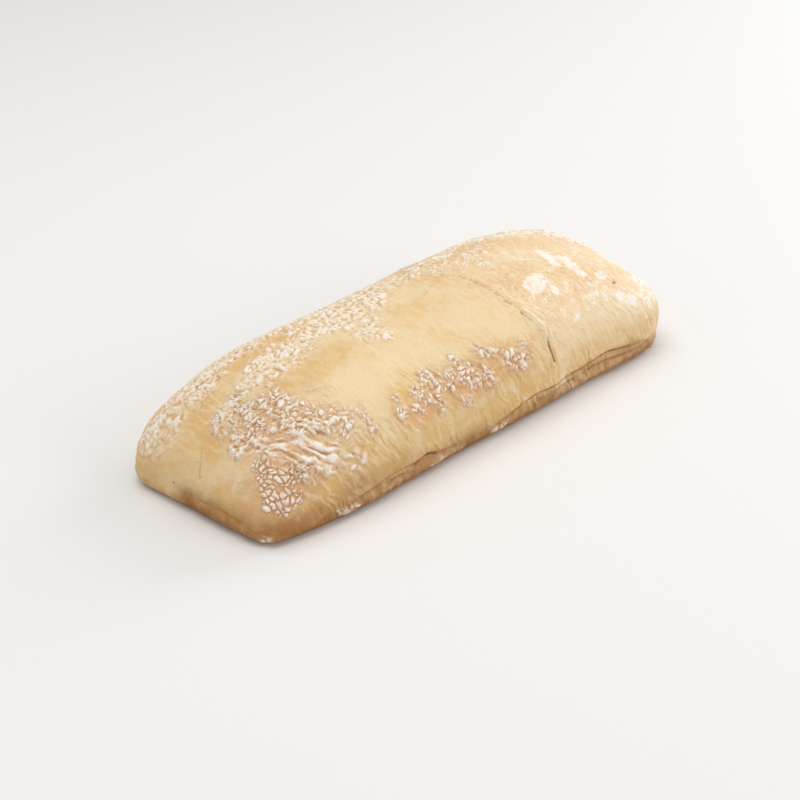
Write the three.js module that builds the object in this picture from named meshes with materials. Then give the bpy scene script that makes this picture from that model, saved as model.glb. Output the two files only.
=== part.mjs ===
import * as THREE from "three";
import { mergeVertices } from "three/addons/utils/BufferGeometryUtils.js";

// A ciabatta: one flat-bottomed, pillow-shaped loaf, longer than it is wide.
// Millimetres, +Z up, the flat base on z = 0, the length along X.

// Length of the loaf down its middle, end to end.
const LENGTH = 282;

// Cross-sections, evenly spaced from the straight-cut end (-1) to the
// rounded end (+1). For each: front edge, back edge, height of the top,
// and height of the line where the side is widest.
const STATIONS = [-1, -0.6, -0.2, 0.2, 0.6, 1];
const SECTIONS = [
  -50, 37.5, 45.5, 9,
  -54, 50.5, 53, 12.5,
  -51.5, 51.5, 55, 17,
  -50.5, 52, 57.5, 21.5,
  -48.5, 57, 55, 20,
  -52.5, 45, 47.5, 18,
];

// How square the outline is at each end: 2 is an ellipse, 10 nearly a box.
const SQUARENESS_CUT_END = 10.5;
const SQUARENESS_ROUND_END = 5.4;

// How far each end runs askew, as a share of the distance off the middle.
const SKEW_CUT_END = -0.15;
const SKEW_ROUND_END = 0.16;

// The domed top: how flat it stays in the middle, how fast it turns down.
const DOME_FLATNESS = 3;
const DOME_ROUNDING = 1.88;

// Share of the half-width taken by the top of the dome, before the side.
const SHOULDER = 0.8;

// Share of the half-width taken by the flat base, under the rounded foot.
const BASE_SHARE = 0.93;
const FOOT_ROUNDING = 2.2;

// The share of the side's height that lies above the widest line.
const UPPER_SIDE = 0.62;

// Draws the grid out towards the ends, where the loaf curves most.
const END_STRETCH = 0.31;

const CELLS_LONG = 38;
const CELLS_WIDE = 14;
const CELLS_HIGH = 9;

const section = new THREE.CubicInterpolant(STATIONS, SECTIONS, 4);

function domeHeight(r) {
  return Math.pow(Math.max(0, 1 - Math.pow(r, DOME_FLATNESS)), 1 / DOME_ROUNDING);
}

// Where a grid point sits in the section: r goes out from the middle line,
// h goes from the base (-1) through the widest line (0) to the top (1).
function profile(ring, level) {
  if (level >= 1) {
    const r = ring * SHOULDER;
    return { r, h: domeHeight(r) };
  }
  if (level <= -1) {
    return { r: ring * BASE_SHARE, h: -1 };
  }
  const down = (1 - level) / 2;
  if (down < UPPER_SIDE) {
    const start = Math.atan2(domeHeight(SHOULDER), SHOULDER);
    const angle = start * (1 - down / UPPER_SIDE);
    return pointOnDome(angle);
  }
  const turn = ((down - UPPER_SIDE) / (1 - UPPER_SIDE)) * (Math.PI / 2);
  const r = BASE_SHARE + (1 - BASE_SHARE) * Math.pow(Math.cos(turn), 2 / FOOT_ROUNDING);
  return { r, h: -Math.pow(Math.sin(turn), 2 / FOOT_ROUNDING) };
}

// The point of the dome's curve seen at this angle above the widest line.
function pointOnDome(angle) {
  let low = 0;
  let high = 1;
  for (let i = 0; i < 40; i += 1) {
    const r = (low + high) / 2;
    if (domeHeight(r) * Math.cos(angle) > r * Math.sin(angle)) {
      low = r;
    } else {
      high = r;
    }
  }
  const r = (low + high) / 2;
  return { r, h: domeHeight(r) };
}

// Carries one point of the 2 x 2 x 2 starting block onto the loaf.
function shape(p) {
  const ring = Math.max(Math.abs(p.x), Math.abs(p.y), 1e-9);
  const along = p.x / ring;
  const across = p.y / ring;
  const n = p.x < 0 ? SQUARENESS_CUT_END : SQUARENESS_ROUND_END;
  const spread = Math.pow(Math.abs(along) ** n + Math.abs(across) ** n, 1 / n);
  const s = Math.max(spread, 1e-9);
  const { r, h } = profile(ring, p.z);

  const u = (r * along) / s;
  const v = (r * across) / s;
  const g = u * (1 + END_STRETCH * (1 - u * u));
  const station = THREE.MathUtils.clamp(g, -1, 1);
  const [front, back, top, widest] = section.evaluate(station);

  const y = (front + back) / 2 + (v * (back - front)) / 2;
  const skew = p.x < 0 ? SKEW_CUT_END : SKEW_ROUND_END;
  const x = (g * LENGTH) / 2 + skew * station * station * y;
  const z = h >= 0 ? widest + (top - widest) * h : widest * (1 + h);
  p.set(x, y, z);
}

function makeLoaf() {
  let geometry = new THREE.BoxGeometry(2, 2, 2, CELLS_LONG, CELLS_WIDE, CELLS_HIGH);
  geometry.deleteAttribute("normal");
  geometry.deleteAttribute("uv");
  geometry = mergeVertices(geometry, 1e-5);
  const place = geometry.getAttribute("position");
  const p = new THREE.Vector3();
  for (let i = 0; i < place.count; i += 1) {
    p.fromBufferAttribute(place, i);
    shape(p);
    place.setXYZ(i, p.x, p.y, p.z);
  }

  // Centre the loaf over the origin and stand it on z = 0.
  geometry.computeBoundingBox();
  const box = geometry.boundingBox;
  const middle = box.getCenter(new THREE.Vector3());
  geometry.translate(-middle.x, -middle.y, -box.min.z);
  geometry.computeVertexNormals();

  const crust = new THREE.MeshStandardMaterial({ color: 0xe6cf9c, roughness: 0.9 });
  const loaf = new THREE.Mesh(geometry, crust);
  loaf.name = "ciabatta_loaf";
  return loaf;
}

const ciabatta = new THREE.Group();
ciabatta.name = "ciabatta";
ciabatta.add(makeLoaf());

export default ciabatta;
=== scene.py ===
import math

import bmesh
import bpy
import numpy as np
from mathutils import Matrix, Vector
from mathutils.bvhtree import BVHTree


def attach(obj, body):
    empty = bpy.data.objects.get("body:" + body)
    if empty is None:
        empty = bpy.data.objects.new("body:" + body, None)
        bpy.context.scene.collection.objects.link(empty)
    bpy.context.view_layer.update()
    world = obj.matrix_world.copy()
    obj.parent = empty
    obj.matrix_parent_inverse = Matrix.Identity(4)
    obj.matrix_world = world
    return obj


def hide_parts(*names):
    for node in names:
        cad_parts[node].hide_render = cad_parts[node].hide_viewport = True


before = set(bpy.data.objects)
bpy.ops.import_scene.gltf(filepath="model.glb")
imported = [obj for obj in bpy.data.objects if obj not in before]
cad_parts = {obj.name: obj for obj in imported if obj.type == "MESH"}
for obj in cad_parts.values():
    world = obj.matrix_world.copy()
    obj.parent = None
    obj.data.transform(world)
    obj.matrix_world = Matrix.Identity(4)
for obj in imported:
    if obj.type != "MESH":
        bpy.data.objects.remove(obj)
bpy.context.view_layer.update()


# ---------------------------------------------------------------- the view
# A portrait-length lens looks down on the loaf from its straight-cut end
# and its front side, so that the top, the long front and the end all show.

MM = 0.001
CAMERA_AT = Vector((-463.0, -492.8, 406.6)) * MM
CAMERA_LOOKS_AT = Vector((-6.9, 4.2, 0.0)) * MM
LENS_MM = 72.0

camera = bpy.data.objects.new("camera", bpy.data.cameras.new("camera"))
camera.data.lens = LENS_MM
camera.data.clip_start = 0.01
camera.location = CAMERA_AT
camera.rotation_euler = (CAMERA_LOOKS_AT - CAMERA_AT).to_track_quat("-Z", "Y").to_euler()
bpy.context.scene.collection.objects.link(camera)
bpy.context.scene.camera = camera


# --------------------------------------------------------- floor and light
# A pale matt table top in a white room, under four soft boxes: a broad one
# overhead, one at the rounder end, a low one in front, and a weak one at the
# straight-cut end.

bpy.context.scene.view_settings.view_transform = "Standard"

FLOOR_SIZE = 6.0
ROOM_LIGHT = 0.5

floor_mesh = bpy.data.meshes.new("floor")
half = FLOOR_SIZE / 2
floor_mesh.from_pydata(
    [(-half, -half, 0), (half, -half, 0), (half, half, 0), (-half, half, 0)],
    [],
    [(0, 1, 2, 3)],
)
floor = bpy.data.objects.new("floor", floor_mesh)
bpy.context.scene.collection.objects.link(floor)
floor_paint = bpy.data.materials.new("pale_floor")
floor_paint.use_nodes = True
floor_shader = floor_paint.node_tree.nodes["Principled BSDF"]
floor_shader.inputs["Base Color"].default_value = (0.8, 0.79, 0.77, 1)
floor_shader.inputs["Roughness"].default_value = 0.9
floor_mesh.materials.append(floor_paint)


def soft_box(name, place, size, power):
    """A rectangular lamp, in metres and watts, that faces the loaf."""
    light = bpy.data.lights.new(name, "AREA")
    light.shape = "RECTANGLE"
    light.size, light.size_y = size
    light.energy = power
    box = bpy.data.objects.new(name, light)
    box.location = place
    box.rotation_euler = (-Vector(place)).to_track_quat("-Z", "Y").to_euler()
    bpy.context.scene.collection.objects.link(box)


soft_box("over_box", (-0.2, 0.15, 1.4), (1.1, 1.1), 9.8)
soft_box("end_box", (1.3, -0.1, 0.6), (0.8, 0.8), 7.2)
soft_box("left_box", (-1.3, 0.3, 0.7), (0.8, 0.6), 1.3)
soft_box("front_box", (0.5, -1.2, 0.6), (0.9, 0.6), 4.2)

room = bpy.data.worlds.new("room")
room.use_nodes = True
room.node_tree.nodes["Background"].inputs["Color"].default_value = (1, 1, 1, 1)
room.node_tree.nodes["Background"].inputs["Strength"].default_value = ROOM_LIGHT
bpy.context.scene.world = room


# ------------------------------------------------------ the loaf: its shape
# One baked piece of slack, wet dough: a soft pillow with a flat base. The
# frame's solid is copied, its doubles are merged, and it is smoothed and
# divided finely enough to carry the crust's relief.

DIVISIONS = 4
WELD = 0.01 * MM
ANY_ANGLE = 3.2  # radians, past half a turn

loaf = bpy.data.objects.new("loaf_crust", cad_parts["ciabatta_loaf"].data.copy())
bpy.context.scene.collection.objects.link(loaf)
dough = bmesh.new()
dough.from_mesh(loaf.data)
bmesh.ops.remove_doubles(dough, verts=dough.verts, dist=WELD)
skin = BVHTree.FromBMesh(dough)
bmesh.ops.join_triangles(
    dough,
    faces=dough.faces,
    angle_face_threshold=ANY_ANGLE,
    angle_shape_threshold=ANY_ANGLE,
)
dough.to_mesh(loaf.data)
dough.free()


def plain_copy(piece):
    """The piece's mesh as its modifiers leave it, with the modifiers gone."""
    depsgraph = bpy.context.evaluated_depsgraph_get()
    made = bpy.data.meshes.new_from_object(piece.evaluated_get(depsgraph))
    piece.modifiers.clear()
    piece.data = made
    return made


smoothing = loaf.modifiers.new("smoothing", "SUBSURF")
smoothing.levels = DIVISIONS
smoothing.render_levels = DIVISIONS
fine = plain_copy(loaf)


# ------------------------------------------ the loaf: where its crust varies
# Flour from the cloth that the dough proved on clings in patches and bands,
# and splits there as the loaf rises. Each patch is a line laid on the skin,
# in millimetres, with a half-width and a strength.

CLEAR = 300  # millimetres, beyond the loaf on every side


def top(x, y):
    """The point of the skin below (x, y): millimetres go in, metres come out."""
    return skin.ray_cast(Vector((x, y, CLEAR)) * MM, Vector((0, 0, -1)))[0]


def front(x, z):
    """The point of the skin that is met from the long front side, and so on."""
    return skin.ray_cast(Vector((x, -CLEAR, z)) * MM, Vector((0, 1, 0)))[0]


def back(x, z):
    """The point of the skin that is met from the long back side."""
    return skin.ray_cast(Vector((x, CLEAR, z)) * MM, Vector((0, -1, 0)))[0]


def cut_end(y, z):
    """The point of the skin that is met from the straight-cut end."""
    return skin.ray_cast(Vector((-CLEAR, y, z)) * MM, Vector((1, 0, 0)))[0]


def far_end(y, z):
    """The point of the skin that is met from the rounder end."""
    return skin.ray_cast(Vector((CLEAR, y, z)) * MM, Vector((-1, 0, 0)))[0]


place = np.empty(len(fine.vertices) * 3, np.float32)
fine.vertices.foreach_get("co", place)
place = place.reshape(-1, 3) / MM


def rounded(points):
    """The line with its corners cut twice."""
    for _ in range(2):
        trimmed = [points[0]]
        for a, b in zip(points, points[1:]):
            trimmed += [a.lerp(b, 0.25), a.lerp(b, 0.75)]
        points = trimmed + [points[-1]]
    return points


def from_line(points, reach):
    """Each vertex's distance from a line on the skin, in millimetres, within reach."""
    line = np.array([*points, points[-1]], np.float32) / MM
    close = np.all((place > line.min(0) - reach) & (place < line.max(0) + reach), axis=1)
    spots = place[close]
    nearest = np.full(len(spots), reach**2, np.float32)
    for a, b in zip(line, line[1:]):
        run = b - a
        share = np.clip((spots - a) @ run / max(float(run @ run), 1e-6), 0, 1)
        away = spots - a - share[:, None] * run
        nearest = np.minimum(nearest, np.einsum("ij,ij->i", away, away))
    distance = np.full(len(place), reach, np.float32)
    distance[close] = np.sqrt(nearest)
    return distance


def soft_step(low, high, value):
    """A smooth rise from 0 to 1, as value goes from low to high."""
    share = np.clip((value - low) / (high - low), 0, 1)
    return share * share * (3 - 2 * share)


def patchwork(patches):
    """How far inside its patches each vertex lies, from 0 to each strength."""
    cover = np.zeros(len(place), np.float32)
    for points, half_width, strength in patches:
        away = from_line(points, 2 * half_width)
        inside = 1 - soft_step(0.2 * half_width, 2 * half_width, away)
        cover = np.maximum(cover, strength * inside)
    return cover


def keep(name, values):
    """Stores a value for each vertex, where the node trees can read it."""
    layer = fine.attributes.new(name, "FLOAT", "POINT")
    layer.data.foreach_set("value", values.astype(np.float32))


# Fine, wrinkled flour, like cauliflower.
FINE_FLOUR = [
    ([top(-122, 27), top(-90, 29), top(-60, 29), top(-30, 28), top(5, 28)], 8.5, 1.0),
    ([top(-117, 18), top(-105, 19)], 5, 0.9),
    ([cut_end(20, 40), cut_end(27, 33), cut_end(24, 24)], 9, 0.75),
    ([cut_end(17, 34), cut_end(15, 28)], 6, 0.6),
    ([top(-66, 8), top(-78, 9), top(-90, 6)], 7, 1.05),
    ([top(-90, 4), top(-104, 1), top(-118, -4)], 5.5, 0.8),
    ([top(-66, 1), top(-80, -2), top(-92, -4)], 6, 0.62),
    ([top(-122, -6), top(-108, -8)], 5, 0.7),
    ([top(-55, 15), top(-40, 14), top(-28, 13), top(-18, 16)], 11, 1.0),
    ([top(-40, 2), top(-42, -11)], 4.5, 0.7),
    ([top(-32, 0), top(-35, -15)], 5.5, 0.72),
    ([top(-15, 20), top(15, 24), top(40, 26)], 9, 0.72),
    ([top(25, 14), top(50, 16), top(62, 24)], 9, 0.55),
    ([top(45, 3), top(52, 8)], 5, 0.5),
    ([top(50, 36), top(80, 33), top(110, 26), top(122, 10)], 9, 0.8),
    ([front(-97, 6), front(-86, 5)], 2.4, 0.6),
    ([front(-72, 7), front(-60, 6)], 1.6, 0.35),
    ([front(-131, 4)], 2.6, 0.85),
    ([front(2, 5), front(9, 6)], 2, 0.6),
    ([front(-40, 5), front(-20, 5)], 1.8, 0.45),
    ([back(-112, 36), back(-95, 38), back(-60, 37), back(-30, 39)], 8, 0.75),
    ([back(-70, 32), back(-66, 20)], 5, 0.6),
    ([back(-28, 34), back(-22, 22)], 5, 0.55),
    ([back(-5, 40), back(20, 38), back(45, 34)], 7, 0.65),
    ([back(52, 33), back(60, 20)], 5, 0.5),
    ([back(80, 32), back(105, 28)], 8, 0.5),
    ([back(-70, 6), back(-55, 6)], 2.4, 0.7),
    ([back(40, 6), back(62, 7)], 2.2, 0.6),
]
# Thicker flour that has split into pads, like dry mud.
PADS = [
    ([top(-124, -37), front(-125, 29), front(-127, 22)], 4.5, 1.0),
    ([front(-119, 30), front(-113, 29)], 3.8, 0.8),
    ([front(-121, 24), front(-117, 21)], 4, 0.9),
    ([front(-127, 18), front(-123, 17)], 3, 0.75),
    ([front(-131, 26)], 3, 0.6),
]
# Flour that has curled up in curds.
CURDS = [
    ([front(-112, 32), front(-107, 27)], 4, 0.7),
    ([top(-112, -13), top(-116, -23)], 6, 0.9),
    ([top(-108, 1), top(-114, -8)], 4.5, 0.7),
    ([top(-120, -2), top(-124, -9)], 4, 0.6),
    ([top(-122, -12), top(-126, -20)], 4, 0.6),
    ([top(-105, -12), top(-103, -21)], 5, 0.85),
    ([top(-97, -14), top(-96, -30)], 4.5, 0.85),
    ([top(-86, -22), top(-80, -30)], 4, 0.4),
    ([top(-103, -32), top(-92, -38), top(-84, -43)], 7, 1.0),
    ([front(-88, 38), front(-80, 34)], 4, 0.55),
    ([front(-73, 43), front(-72, 35)], 3, 0.85),
    ([front(-54, 42), front(-54, 35)], 2.4, 0.85),
    ([front(-43, 41), front(-38, 36)], 3, 1.0),
    ([front(-47, 35), front(-42, 33)], 2.2, 0.9),
    ([front(-33, 43), front(-24, 38)], 4.6, 1.0),
    ([front(-31, 37), front(-32, 30)], 3.4, 0.9),
    ([front(-15, 40), front(-3, 34)], 6, 0.95),
    ([top(-16, -40), top(-14, -43)], 2.8, 0.8),
    ([front(-18, 29), front(-14, 27)], 3, 0.75),
    ([front(0, 44), front(8, 41)], 4, 0.7),
    ([front(13, 39), front(20, 33)], 5.5, 0.8),
    ([front(24, 41), front(27, 37)], 3.5, 0.65),
    ([back(-98, 27), back(-90, 31)], 3.5, 0.75),
    ([back(-80, 24), back(-78, 30)], 2.5, 0.6),
    ([back(2, 30), back(10, 34)], 3.5, 0.75),
    ([back(18, 27), back(21, 31)], 2.5, 0.65),
]
# Flour that the dough's skin has drawn into long ridges as it stretched.
RIDGES = [
    ([front(-116, 39), front(-98, 33)], 7, 1.05),
    ([top(-123, -21), top(-114, -33)], 5, 0.95),
    ([top(-108, -30), top(-96, -42)], 5, 0.85),
    ([front(-98, 30), front(-84, 26)], 5, 0.6),
]
# Loose, smooth dusting. The broad, faint veils over the rounder end are partly flour and partly painted
# light that whitens that end.
DUST_AND_LIGHT = [
    ([top(52, -27), top(58, -24)], 4.5, 1.3),
    ([top(62, -32)], 2.8, 0.9),
    ([top(85, 0), top(83, -8), top(79, -17)], 2.6, 1.05),
    ([top(84, -8), top(89.5, -12), top(86.5, -21), top(86, -27)], 3, 1.05),
    ([top(97, -31)], 3.2, 1.2),
    ([front(100, 38), front(106, 34)], 3.5, 0.9),
    ([top(72, -2), top(66, -8)], 3.5, 0.5),
    ([front(84, 44), front(76, 40)], 4, 0.5),
    ([front(58, 44), front(66, 40)], 4, 0.5),
    ([front(118, 33), far_end(-30, 34), far_end(-15, 38)], 12, 0.62),
    ([top(50, 10), top(75, -8), top(100, -15), top(120, 0)], 26, 0.38),
    ([top(48, -34), top(75, -38), top(104, -38)], 12, 0.42),
    ([top(40, 34), top(80, 30), top(112, 22)], 10, 0.5),
    ([front(36, 51), front(39, 48), front(41.5, 43), front(41.2, 37)], 0.8, 0.65),
    ([far_end(4, 30), far_end(18, 24), far_end(30, 20)], 9, 0.45),
]
# Where the skin wrinkled as the loaf shrank back from its rise.
WRINKLES = [
    ([top(20, 22), top(60, 20), top(100, 12)], 18, 0.9),
    ([top(45, -20), top(75, -20), top(105, -22)], 18, 1.2),
    ([top(120, -10), top(120, 15)], 14, 0.7),
    ([top(-60, 16), top(-20, 16)], 12, 0.6),
    ([front(-30, 33), front(20, 33)], 8, 0.6),
    ([top(28, -8), top(33, -30)], 7, 1.0),
    ([top(-110, -5), top(-100, -35)], 14, 0.7),
    ([far_end(-40, 28), far_end(0, 36), far_end(40, 28)], 14, 0.8),
]
# Where the skin baked to gold and caught to a rosy brown, and where it is darker low down: partly a
# browner bake, partly painted shade.
GOLD = [
    ([top(-60, 18), top(-85, 18), top(-105, 16), top(-124, 6), top(-129, -10)], 6, 1.0),
    ([top(-60, -12), top(-78, -14), top(-90, -12)], 9, 0.7),
    ([top(-112, -22), top(-104, -34)], 12, 0.8),
    ([cut_end(40, 30), cut_end(38, 16), cut_end(20, 12)], 10, 0.9),
    ([cut_end(-25, 12), cut_end(-40, 14)], 9, 0.8),
    ([front(-128, 14), front(-100, 16)], 12, 0.9),
    ([front(-90, 17), front(-40, 16), front(0, 17), front(40, 17)], 8, 0.85),
    ([front(-95, 23), front(-65, 23), front(-48, 20)], 9, 0.8),
    ([cut_end(12, 30), cut_end(-4, 18)], 14, 0.5),
    ([front(-50, 36), front(-30, 34), front(0, 34), front(25, 34)], 10, 0.8),
    ([front(60, 16), front(90, 20), front(110, 18)], 8, 0.7),
    ([top(15, 8), top(35, 4), top(50, 2)], 8, 0.3),
    ([top(-15, -8), top(0, -10)], 9, 0.35),
    ([top(65, 20), top(95, 12), top(110, 5)], 9, 0.8),
    ([top(60, -16), top(85, -26), top(105, -32)], 9, 0.55),
    ([back(-90, 18), back(-30, 16), back(40, 18), back(90, 16)], 8, 0.7),
    ([far_end(-42, 18), far_end(-10, 15), far_end(10, 20), far_end(42, 17)], 9, 0.75),
    ([far_end(22, 34), far_end(38, 26)], 9, 0.6),
]
ROSY = [
    ([front(-124, 26), front(-114, 34)], 14, 1.0),
    ([front(-128, 14), front(-112, 15)], 9, 0.7),
    ([top(-112, -25), top(-95, -36)], 12, 0.6),
    ([cut_end(-34, 18), cut_end(-30, 30)], 8, 0.5),
    ([front(-44, 34), front(-38, 33)], 7, 0.8),
    ([front(-18, 36), front(-2, 32)], 7, 0.9),
    ([front(14, 36), front(24, 34)], 7, 0.8),
    ([cut_end(30, 34), cut_end(38, 28)], 11, 0.6),
    ([top(38, -14), top(60, -36), top(100, -34)], 7, 0.5),
    ([top(30, 28), top(60, 28)], 10, 0.45),
    ([back(-90, 32), back(-60, 26)], 9, 0.7),
    ([back(0, 34), back(16, 33)], 8, 0.7),
]
# Darker low on the sides and at the foot: partly the crust's browner bake, partly painted shade.
BAKED_AND_SHADE = [
    ([front(-140, 8), front(-130, 12), front(-112, 11), front(-98, 8)], 9, 1.0),
    ([front(-100, 6), front(-50, 7), front(0, 6), front(40, 6)], 8, 0.75),
    ([front(40, 5), front(110, 4)], 5, 0.6),
    ([front(-50, 10), front(-38, 10)], 5, 0.9),
    ([front(-90, 19), front(-60, 20)], 9, 1.2),
    ([front(60, 12), front(104, 12)], 6, 1.0),
    ([front(92, 5), front(120, 6)], 5, 0.8),
    ([cut_end(-50, 8), cut_end(-38, 8)], 6, 0.7),
    ([cut_end(50, 12), cut_end(44, 10)], 7, 0.5),
    ([back(-130, 9), back(-60, 7), back(0, 7), back(60, 8), back(125, 9)], 8, 0.8),
    ([far_end(-40, 8), far_end(0, 7), far_end(40, 8)], 8, 0.8),
]

PATCHES = {
    "fine_flour": FINE_FLOUR,
    "pads": PADS,
    "curds": CURDS,
    "ridges": RIDGES,
    "dust_and_light": DUST_AND_LIGHT,
    "wrinkles": WRINKLES,
    "gold": GOLD,
    "rosy": ROSY,
    "baked_and_shade": BAKED_AND_SHADE,
}
for name, patches in PATCHES.items():
    keep(name, patchwork(patches))

# The fold where the dough was turned over itself, its open lower end, and
# the seam along the foot: a soft valley with a thin crack in places.
FOLD_X = [20, 24, 29, 30.5, 31, 32.5]
FOLD_Y = [12, 6, 0, -10, -21, -30]
FOLD_TOP = front(35.5, 51)
FOLD = [*(top(x, y) for x, y in zip(FOLD_X, FOLD_Y)), FOLD_TOP]
FOLD_RIDGE = [FOLD_TOP, front(39, 48), front(41.5, 43), front(41.2, 37)]
FOLD_OPEN = [front(41.2, 38), front(41.2, 33), front(43, 26)]
SEAM_X = [-106, -92, -80, -68, -60, -50, -37, -20, 0, 14, 25, 35, 45, 53, 64, 74, 84, 92, 102, 112]
SEAM_Z = [5, 7, 9, 11, 11.5, 10.5, 9.5, 7, 7, 9, 12, 12.5, 11, 13.5, 12.5, 14, 15, 13.5, 12, 11]
SEAM = [front(x, z) for x, z in zip(SEAM_X, SEAM_Z)]
CREASES = [
    # Each is a line, with its half-width and its depth.
    (FOLD, 0.6, 0.2),
    ([front(33.6, 50), front(37, 47), front(39.6, 42), front(39.6, 36)], 0.6, 0.35),
    (FOLD_OPEN, 0.65, 1.35),
    (
        [top(-118, 25), top(-112, 22), top(-106, 21), top(-98, 22), top(-88, 23), top(-78, 24)],
        0.7,
        0.5,
    ),
    ([cut_end(-4, 30), cut_end(-6.6, 27), cut_end(-7.4, 25)], 0.5, 0.45),
    ([cut_end(-7.7, 24.5), cut_end(-8.1, 22.5), cut_end(-9.5, 20)], 0.55, 0.8),
    (SEAM, 1.8, 0.7),
    (
        [front(-92, 7), front(-80, 9.2), front(-68, 11.2), front(-60, 11.6), front(-50, 9.6)],
        0.6,
        0.95,
    ),
    ([front(-50, 9.5), front(-46, 11.5), front(-42, 11.5), front(-37, 9.5)], 1.1, 1.7),
    ([front(-66, 8.5), front(-58, 8), front(-52, 6.5)], 0.9, 0.9),
    (
        [front(14, 9), front(20, 11), front(29, 12.4), front(36, 12.4), front(45, 11), front(53, 13.4)],
        0.65,
        1.2,
    ),
    (
        [front(58, 13), front(68, 12.9), front(76, 14.2), front(84, 15), front(92, 13.5), front(102, 12)],
        0.75,
        1.35,
    ),
    ([front(34, 8), front(44, 7.5), front(52, 9.5), front(60, 9)], 0.9, 0.7),
    ([front(70, 10), front(80, 10.5), front(90, 9.5), front(106, 7.5), front(116, 9)], 0.9, 0.8),
    ([cut_end(-42, 7), cut_end(-34, 9), cut_end(-24, 10.5), cut_end(-12, 9.5)], 0.9, 0.5),
    ([far_end(-42, 12), far_end(-30, 9), far_end(-16, 10), far_end(-4, 7)], 1.4, 0.5),
    ([far_end(8, 8), far_end(20, 10), far_end(32, 9)], 1.1, 0.4),
    ([back(-122, 9), back(-100, 12), back(-84, 10), back(-66, 12), back(-52, 8)], 1.7, 0.8),
    ([back(-104, 11.6), back(-92, 11), back(-84, 10)], 0.7, 1.1),
    ([back(-60, 13), back(-50, 10), back(-42, 11)], 0.7, 0.9),
    ([back(-40, 8), back(-14, 12), back(6, 9), back(24, 11)], 1.8, 0.6),
    ([back(36, 10), back(54, 14), back(72, 12), back(90, 14), back(112, 10)], 1.9, 0.8),
    ([back(66, 12.6), back(72, 12), back(82, 13.2)], 0.7, 1.0),
    ([front(-98, 33), front(-104, 38), front(-113, 40)], 0.8, 0.5),
]
PINHOLES = [(top(102, -36.5), 1.1, 1.5), (cut_end(5, 12), 0.6, 0.9), (top(-20, -26), 0.45, 0.35)]

dent = np.zeros(len(place), np.float32)
for points, half_width, depth in CREASES:
    away = from_line(rounded(points), 3 * half_width)
    dent = np.maximum(dent, depth * np.exp(-((away / half_width) ** 2)))
for point, half_width, depth in PINHOLES:
    away = from_line([point], 3 * half_width)
    dent = np.maximum(dent, depth * np.exp(-((away / half_width) ** 4)))
keep("dent", dent)

# The dough stands proud on the rounder end's side of the fold, in a thin
# ridge below it, and in a bulge over the seam.
FOLD_FRONT_X = [41, 39, 35.5]
FOLD_FRONT_Y = [-52, -45, -38]
LIP_REACH = 9
RIDGE_REACH = 3
BULGE_REACH = 7


def bank(away, middle, half_width):
    """A smooth bank beside a line, highest at middle millimetres from it."""
    return np.exp(-(((away - middle) / half_width) ** 2))


fold_x = np.interp(place[:, 1], FOLD_FRONT_Y + FOLD_Y[::-1], FOLD_FRONT_X + FOLD_X[::-1])
away = from_line(rounded(FOLD + FOLD_RIDGE[1:] + FOLD_OPEN[1:]), LIP_REACH)
lip = np.where(place[:, 0] > fold_x, bank(away, 2.0, 2.2), 0)
lip += bank(from_line(rounded(FOLD_RIDGE), RIDGE_REACH), 0.0, 0.8)
seam_z = np.interp(place[:, 0], SEAM_X, SEAM_Z)
over_seam = (place[:, 1] < 0) & (place[:, 2] > seam_z)
away = from_line(rounded(SEAM), BULGE_REACH)
lip += np.where(over_seam, 1.1 * bank(away, 1.8, 1.8), 0)
keep("lip", lip)


# ------------------------------------------------- the loaf: its skin's grain
# Puffs, pads, curds and ridges of flour, stretch marks, wrinkles and pores.
# The relief and the colour both read these patterns, at a place on the skin,
# so that what stands up is floury and what is deep carries painted shade.


def add(tree, kind, sockets=None, **settings):
    """A new node, with values or links for its sockets."""
    node = tree.nodes.new(kind)
    for name, value in settings.items():
        setattr(node, name, value)
    for name, value in (sockets or {}).items():
        if isinstance(value, bpy.types.NodeSocket):
            tree.links.new(value, node.inputs[name])
        else:
            node.inputs[name].default_value = value
    return node


def calc(tree, operation, *values):
    node = add(tree, "ShaderNodeMath", dict(enumerate(values)), operation=operation)
    return node.outputs[0]


def vector(tree, operation, *values):
    node = add(tree, "ShaderNodeVectorMath", dict(enumerate(values)), operation=operation)
    return node.outputs["Value" if operation == "DOT_PRODUCT" else "Vector"]


def total(tree, *parts):
    """The sum of value, share pairs: each value times its share."""
    whole = 0.0
    for value, share in parts:
        whole = add(
            tree, "ShaderNodeMath", {0: value, 1: share, 2: whole}, operation="MULTIPLY_ADD"
        ).outputs[0]
    return whole


def product(tree, *values):
    whole = values[0]
    for value in values[1:]:
        whole = calc(tree, "MULTIPLY", whole, value)
    return whole


def largest(tree, *values):
    whole = values[0]
    for value in values[1:]:
        whole = calc(tree, "MAXIMUM", whole, value)
    return whole


def step(tree, value, low, high, to_low=0.0, to_high=1.0):
    """A smooth rise from one level to the other, as value goes from low to high."""
    sockets = {"Value": value, "From Min": low, "From Max": high}
    sockets.update({"To Min": to_low, "To Max": to_high})
    return add(tree, "ShaderNodeMapRange", sockets, interpolation_type="SMOOTHSTEP").outputs[0]


def noise(tree, spot, size_mm, detail=2.0, roughness=0.5):
    """Smooth noise about zero, mostly between -1 and 1."""
    sockets = {"Vector": spot, "Scale": 1 / (size_mm * MM), "Detail": detail}
    sockets["Roughness"] = roughness
    value = add(tree, "ShaderNodeTexNoise", sockets).outputs["Fac"]
    return total(tree, (value, 4.0), (1.0, -2.0))


def cells(tree, spot, size_mm, feature="F1", randomness=1.0):
    """The distance from the middle of a cell, or from its edge, as a share of its size."""
    sockets = {"Vector": spot, "Scale": 1 / (size_mm * MM), "Randomness": randomness}
    return add(tree, "ShaderNodeTexVoronoi", sockets, feature=feature).outputs["Distance"]


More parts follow.
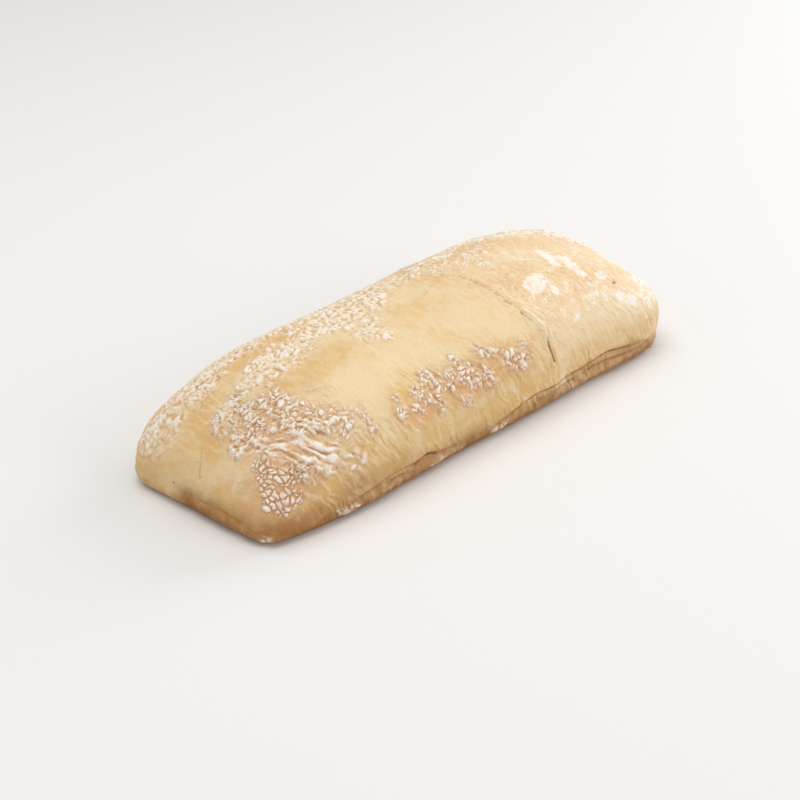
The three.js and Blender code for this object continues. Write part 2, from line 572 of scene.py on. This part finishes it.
def warped(tree, spot, size_mm, reach_mm):
    """The place, pushed about by up to half of reach_mm."""
    sockets = {"Vector": spot, "Scale": 1 / (size_mm * MM), "Detail": 2.0}
    swirl = add(tree, "ShaderNodeTexNoise", sockets).outputs["Color"]
    swirl = vector(tree, "SUBTRACT", swirl, (0.5, 0.5, 0.5))
    swirl = vector(tree, "MULTIPLY", swirl, (reach_mm * MM,) * 3)
    return vector(tree, "ADD", spot, swirl)


def drawn_out(tree, spot, along, stretch):
    """The place, squeezed so that patterns run along a way, or cross it if stretch < 1."""
    way = tuple(Vector(along).normalized())
    taken = calc(tree, "MULTIPLY", vector(tree, "DOT_PRODUCT", spot, way), 1 - 1 / stretch)
    taken = add(tree, "ShaderNodeVectorMath", {0: way, "Scale": taken}, operation="SCALE")
    return vector(tree, "SUBTRACT", spot, taken.outputs["Vector"])


GRAIN_MM = 1.3
CLUMP_MM = 4.5
PUFF_MM = 2.1
PAD_MM = 2.8
CURD_MM = 2.8
RIDGE_MM = 2.3
STREAK_MM = 12
WRINKLE_MM = 5
CURDS_RUN = (0, -0.35, 1)
RIDGES_RUN = (15, -13, -8)
STREAKS_CROSS = (0.88, 0.2, 0.42)


def grain(tree, spot, masks):
    """The patterns at a place: grain, clumps and streaks about 0, the others from 0 to 1."""
    sides = add(tree, "ShaderNodeSeparateXYZ", {0: spot}).outputs
    level = sides["Z"]
    bent = warped(tree, spot, 8, 6.0)
    ruffled = warped(tree, bent, 2.4, 1.9)
    rough = noise(tree, spot, GRAIN_MM, 3.0, 0.65)
    clump = noise(tree, bent, CLUMP_MM, 3.0, 0.6)
    puff = step(tree, cells(tree, ruffled, PUFF_MM), 0.95, 0.1)

    # Pads are cells with splits between them.
    gap = cells(tree, ruffled, PAD_MM, "DISTANCE_TO_EDGE", 0.85)
    pad = step(tree, gap, -0.05, 0.3)
    split = step(tree, gap, 0.12, 0.0)

    # Curds and wrinkles rise on both sides of where a noise passes zero.
    curl = noise(tree, drawn_out(tree, ruffled, CURDS_RUN, 1.9), CURD_MM, 1.5)
    curd = step(tree, calc(tree, "ABSOLUTE", curl), 0.0, 0.55)
    pucker = noise(tree, drawn_out(tree, bent, STREAKS_CROSS, 0.5), WRINKLE_MM, 2.0)
    wrinkle = step(tree, calc(tree, "ABSOLUTE", pucker), 0.0, 0.6)

    # Drawn flour lies in long ridges, as if combed.
    swept = warped(tree, spot, 14, 8.0)
    comb = noise(tree, drawn_out(tree, swept, RIDGES_RUN, 7.0), RIDGE_MM, 1.0)
    comb = step(tree, comb, -0.5, 0.5)

    # Stretch marks run up the sides, strong in places, and fade at both ends.
    streak = noise(tree, drawn_out(tree, bent, STREAKS_CROSS, 0.14), STREAK_MM, 3.0, 0.6)
    on_side = step(tree, level, 53 * MM, 36 * MM, 0.35, 1.0)
    in_places = step(tree, noise(tree, spot, 24, 1.0), -0.7, 0.7, 0.3, 1.3)
    from_middle = calc(tree, "ABSOLUTE", sides["X"])
    off_ends = step(tree, from_middle, 118 * MM, 138 * MM, 1.0, 0.25)
    streak = product(tree, streak, on_side, in_places, off_ends)

    def spread(name, low, high, drawn=0.0, clumped=0.3):
        """A mask with its edge broken up by the clumps, the grain and the streaks."""
        amount = total(
            tree, (masks[name], 1.0), (clump, clumped), (rough, 0.14), (streak, drawn)
        )
        return step(tree, amount, low, high)

    return {
        "along": sides["X"],
        "level": level,
        "rough": rough,
        "clump": clump,
        "puff": puff,
        "pad": pad,
        "split": split,
        "curd": curd,
        "comb": comb,
        "streak": streak,
        "wrinkle": wrinkle,
        "fine": spread("fine_flour", 0.15, 0.85),
        "thick": spread("pads", 0.15, 0.75, 0.0, 0.35),
        "curly": spread("curds", 0.2, 0.85),
        "drawn": spread("ridges", 0.15, 0.75),
        "loose_and_light": spread("dust_and_light", 0.15, 0.95, 0.3),
    }


# ----------------------------------------------------- the loaf: its relief
# Flour stands on the skin a few tenths of a millimetre high, with cracks
# between; the fold and the foot's seam cut deeper. A node tree lifts the
# fine mesh, which is then thinned and cleared of sharp folds.

KEPT_TRIANGLES = 192_000
SHARP_FOLD = math.radians(55)
EASINGS = 5
EASED_ABOVE = 2 * MM

relief = bpy.data.node_groups.new("crust_relief", "GeometryNodeTree")
relief.interface.new_socket("Geometry", in_out="INPUT", socket_type="NodeSocketGeometry")
relief.interface.new_socket("Geometry", in_out="OUTPUT", socket_type="NodeSocketGeometry")
RELIEF_MM = {
    "Lumps": 0.7,
    "Clumps": 0.2,
    "Puffs": 0.65,
    "Pads": 0.6,
    "Splits": 0.18,
    "Curds": 0.85,
    "Ridges": 0.9,
    "Wrinkles": 0.4,
    "Streaks": 0.28,
    "Grain": 0.09,
    "Roll": 1.0,
    "Lip": 0.7,
}
sizes = {
    name: relief.interface.new_socket(name, in_out="INPUT", socket_type="NodeSocketFloat")
    for name in RELIEF_MM
}
given = relief.nodes.new("NodeGroupInput").outputs
here = relief.nodes.new("GeometryNodeInputPosition").outputs[0]


def stored(name):
    """A value that the fine mesh carries."""
    node = add(relief, "GeometryNodeInputNamedAttribute", {"Name": name}, data_type="FLOAT")
    return node.outputs["Attribute"]


masks = {name: stored(name) for name in PATCHES}
crumb = grain(relief, here, masks)
level = crumb["level"]
lumps = noise(relief, here, 34, 1.5)

# A second roll of dough bulges under the seam, more in some places.
under_seam = step(relief, level, 10 * MM, 6 * MM)
off_floor = step(relief, level, 0.0, 5 * MM)
in_places = step(relief, noise(relief, here, 9, 2.0), -1.2, 1.0, 0.3, 1.3)
roll = product(relief, off_floor, under_seam, in_places)

# Creases are deeper in some places, too.
cut_in = total(relief, (crumb["clump"], -0.5), (lumps, -0.4), (1.0, -1.0))

height = total(
    relief,
    (lumps, given["Lumps"]),
    (crumb["clump"], given["Clumps"]),
    (product(relief, crumb["fine"], crumb["puff"]), given["Puffs"]),
    (product(relief, crumb["thick"], crumb["pad"]), given["Pads"]),
    (product(relief, crumb["thick"], crumb["split"], -1.0), given["Splits"]),
    (product(relief, crumb["curly"], crumb["curd"]), given["Curds"]),
    (product(relief, crumb["curly"], crumb["clump"]), 0.3),
    (product(relief, crumb["drawn"], crumb["comb"]), given["Ridges"]),
    (product(relief, masks["wrinkles"], crumb["wrinkle"]), given["Wrinkles"]),
    (crumb["streak"], given["Streaks"]),
    (crumb["rough"], given["Grain"]),
    (product(relief, crumb["fine"], crumb["clump"]), 0.2),
    (roll, given["Roll"]),
    (stored("lip"), given["Lip"]),
    (stored("dent"), cut_in),
)
height = product(relief, height, step(relief, level, 0.0, 3 * MM))
height = add(relief, "GeometryNodeBlurAttribute", {"Value": height, "Iterations": 1}).outputs[0]

# What lies below the skin around it is a recess, which the colour reads: less flour clings there, and
# painted shade darkens it.
around = add(relief, "GeometryNodeBlurAttribute", {"Value": height, "Iterations": 12})
recess = calc(relief, "SUBTRACT", around.outputs[0], height)


def store(geometry, name, value, data_type="FLOAT"):
    """The geometry, with a value stored on it for the paint to read."""
    sockets = {"Geometry": geometry, "Name": name, "Value": value}
    node = add(relief, "GeometryNodeStoreNamedAttribute", sockets, data_type=data_type)
    return node.outputs["Geometry"]


kept = store(given["Geometry"], "rest", here, "FLOAT_VECTOR")
kept = store(kept, "recess", recess)
outward = relief.nodes.new("GeometryNodeInputNormal").outputs[0]
lift = add(
    relief,
    "ShaderNodeVectorMath",
    {0: outward, "Scale": calc(relief, "MULTIPLY", height, MM)},
    operation="SCALE",
)
raised = add(
    relief,
    "GeometryNodeSetPosition",
    {"Geometry": kept, "Offset": lift.outputs["Vector"]},
)
whole = add(relief, "GeometryNodeRealizeInstances", {0: raised.outputs[0]})

crust = bpy.data.materials.new("crust")
crust.use_nodes = True
finish = add(relief, "GeometryNodeSetMaterial", {0: whole.outputs[0], "Material": crust})
relief.links.new(finish.outputs[0], relief.nodes.new("NodeGroupOutput").inputs[0])

lifting = loaf.modifiers.new("relief", "NODES")
lifting.node_group = relief
for name, millimetres in RELIEF_MM.items():
    lifting[sizes[name].identifier] = millimetres
fine = plain_copy(loaf)

thinning = loaf.modifiers.new("thinning", "DECIMATE")
thinning.ratio = KEPT_TRIANGLES / (2 * len(fine.polygons))
thinning.use_collapse_triangulate = True
loaf_mesh = plain_copy(loaf)

# Where the thinning left a sharp fold, above the base, it is eased flat.
eased = bmesh.new()
eased.from_mesh(loaf_mesh)
for _ in range(EASINGS):
    sharp = {
        corner
        for edge in eased.edges
        if edge.calc_face_angle() > SHARP_FOLD
        for end in edge.verts
        for side in end.link_edges
        for corner in side.verts
    }
    bmesh.ops.smooth_vert(
        eased,
        verts=[corner for corner in eased.verts if corner in sharp and corner.co.z > EASED_ABOVE],
        factor=0.5,
        use_axis_x=True,
        use_axis_y=True,
        use_axis_z=True,
    )
eased.to_mesh(loaf_mesh)
eased.free()
loaf_mesh.shade_smooth()


# ----------------------------------------------------- the loaf: its colour
# Pale gold skin, barely baked: brown at the foot, partly its own bake and
# partly painted shade; rosier where it dried round the flour; paler at the
# rounder end, partly a paler crust and partly painted light; white with matt
# flour; and painted shade in its hollows and creases.

paint = crust.node_tree
shader = paint.nodes["Principled BSDF"]


def attribute(name, kind="Fac"):
    """A value that the finished mesh carries."""
    return add(paint, "ShaderNodeAttribute", attribute_name=name).outputs[kind]


def blend(low, high, share):
    """One colour where the share is 0, the other where it is 1."""
    node = add(paint, "ShaderNodeMix", data_type="RGBA")
    for socket, value in ((0, share), (6, low), (7, high)):
        if isinstance(value, bpy.types.NodeSocket):
            paint.links.new(value, node.inputs[socket])
        else:
            node.inputs[socket].default_value = value
    return node.outputs[2]


def rgb(red, green, blue):
    """A colour given as a screen shows it, from 0 to 255."""

    def linear(value):
        value /= 255
        return value / 12.92 if value <= 0.04045 else ((value + 0.055) / 1.055) ** 2.4

    return (linear(red), linear(green), linear(blue), 1)


CREAM = rgb(229, 206, 162)
GOLDEN = rgb(220, 179, 117)
ROSE = rgb(219, 168, 122)
FOOT_AND_SHADE = rgb(154, 97, 30)
# A crack's brown, also used as painted shade in the hollows.
CRACK_AND_SHADE = rgb(166, 108, 64)
SHADE = rgb(118, 76, 34)
PALE_AND_LIT = rgb(241, 220, 190)
PINK_FLOUR = rgb(236, 208, 180)
FLOUR = rgb(244, 239, 230)

spot = attribute("rest", "Vector")
masks = {name: attribute(name) for name in PATCHES}
crumb = grain(paint, spot, masks)
recess = attribute("recess")

broad = noise(paint, spot, 26, 3.0)
mottle = noise(paint, spot, 7, 3.0, 0.6)
goldness = total(
    paint,
    (masks["gold"], 0.7),
    (broad, 0.25),
    (mottle, 0.25),
    (crumb["streak"], -0.5),
    (1.0, 0.12),
)
skin_colour = blend(CREAM, GOLDEN, step(paint, goldness, 0.0, 1.0))
rosiness = total(paint, (masks["rosy"], 0.8), (mottle, 0.25), (crumb["clump"], -0.15))
skin_colour = blend(skin_colour, ROSE, step(paint, rosiness, 0.1, 0.9, 0.0, 0.8))
skin_colour = blend(skin_colour, PINK_FLOUR, step(paint, crumb["streak"], 0.1, 1.0, 0.0, 0.65))

# Brown towards the foot and in the darker patches: partly baked brown, partly painted shade.
foot_share = total(
    paint,
    (crumb["level"], 1 / MM),
    (broad, 2.5),
    (mottle, 2.0),
    (crumb["streak"], 3.0),
    (masks["baked_and_shade"], -10.0),
    (crumb["clump"], 1.5),
)
# The rounder end is paler: partly a paler crust, partly painted light that whitens that end.
far_half = step(paint, crumb["along"], 20 * MM, 130 * MM, 0.0, 0.6)
over_foot = step(paint, crumb["level"], 14 * MM, 36 * MM, 0.1, 1.0)
skin_colour = blend(skin_colour, PALE_AND_LIT, product(paint, far_half, over_foot))
skin_colour = blend(FOOT_AND_SHADE, skin_colour, step(paint, foot_share, -9, 13))

# Under the flour the skin is a little darker. Between the puffs, in the wrinkles' hollows and wherever
# the skin is deep, painted shade darkens it, brown or rosy.
flour_bed = largest(paint, crumb["thick"], crumb["drawn"], crumb["curly"])
skin_colour = blend(skin_colour, CRACK_AND_SHADE, product(paint, flour_bed, 0.12))
skin_colour = blend(skin_colour, CRACK_AND_SHADE, step(paint, recess, 0.02, 0.4, 0.0, 0.72))
shade_between_puffs = step(paint, crumb["puff"], 0.3, 0.0, 0.0, 0.4)
skin_colour = blend(skin_colour, CRACK_AND_SHADE, product(paint, crumb["fine"], shade_between_puffs))
shade_in_wrinkles = step(paint, crumb["wrinkle"], 0.5, 0.0, 0.0, 0.3)
skin_colour = blend(skin_colour, ROSE, product(paint, masks["wrinkles"], shade_in_wrinkles))


def floury(amount, pattern, roughened, low, high, thin, full):
    """How thickly flour covers a pattern, from thin in its hollows to full on its tops."""
    tops = total(paint, (pattern, 1.0), (crumb["rough"], roughened))
    tops = step(paint, tops, low, high)
    return product(paint, amount, step(paint, tops, 0.0, 1.0, thin, full))


cover = largest(
    paint,
    floury(crumb["fine"], crumb["puff"], 0.3, 0.05, 0.6, 0.25, 0.85),
    floury(crumb["thick"], crumb["pad"], 0.2, 0.15, 0.85, 0.15, 0.98),
    floury(crumb["curly"], crumb["curd"], 0.25, 0.1, 0.9, 0.28, 0.95),
    floury(crumb["drawn"], crumb["comb"], 0.2, 0.1, 0.9, 0.35, 0.98),
    product(paint, crumb["loose_and_light"], 0.92),
)
patchy = total(paint, (crumb["clump"], 0.3), (crumb["rough"], 0.2), (recess, -1.0), (1.0, 0.55))
cover = product(paint, cover, step(paint, patchy, 0.0, 0.9, 0.3, 1.0))
whiteness = total(
    paint,
    (cover, 1.0),
    (crumb["clump"], 0.25),
    (crumb["fine"], 0.15),
    (crumb["loose_and_light"], 0.9),
    (crumb["thick"], -0.1),
)
flour_colour = blend(PINK_FLOUR, FLOUR, step(paint, whiteness, 0.4, 1.2))
colour = blend(skin_colour, flour_colour, cover)

# The creases are painted brown, unevenly: partly the crust's own browner colour, partly painted shade.
uneven = total(paint, (crumb["clump"], 0.5), (mottle, 0.35), (1.0, 1.0))
creased = product(paint, attribute("dent"), uneven)
colour = blend(colour, SHADE, step(paint, creased, 0.55, 1.8, 0.0, 0.75))
paint.links.new(colour, shader.inputs["Base Color"])
paint.links.new(step(paint, cover, 0.0, 0.7, 0.66, 0.95), shader.inputs["Roughness"])
shader.inputs["Specular IOR Level"].default_value = 0.35

# The same patterns tilt the light a little, finer than the mesh can carry.
bumps = total(
    paint,
    (crumb["rough"], 0.09),
    (crumb["streak"], 0.06),
    (product(paint, crumb["curly"], crumb["curd"]), 0.4),
    (product(paint, crumb["fine"], crumb["puff"]), 0.35),
    (product(paint, crumb["thick"], crumb["pad"]), 0.2),
    (product(paint, crumb["thick"], crumb["split"]), -0.25),
    (product(paint, crumb["drawn"], crumb["comb"]), 0.3),
)
bump = add(paint, "ShaderNodeBump", {"Height": bumps, "Distance": MM, "Strength": 1.0})
paint.links.new(bump.outputs[0], shader.inputs["Normal"])

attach(loaf, "root")
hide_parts("ciabatta_loaf")
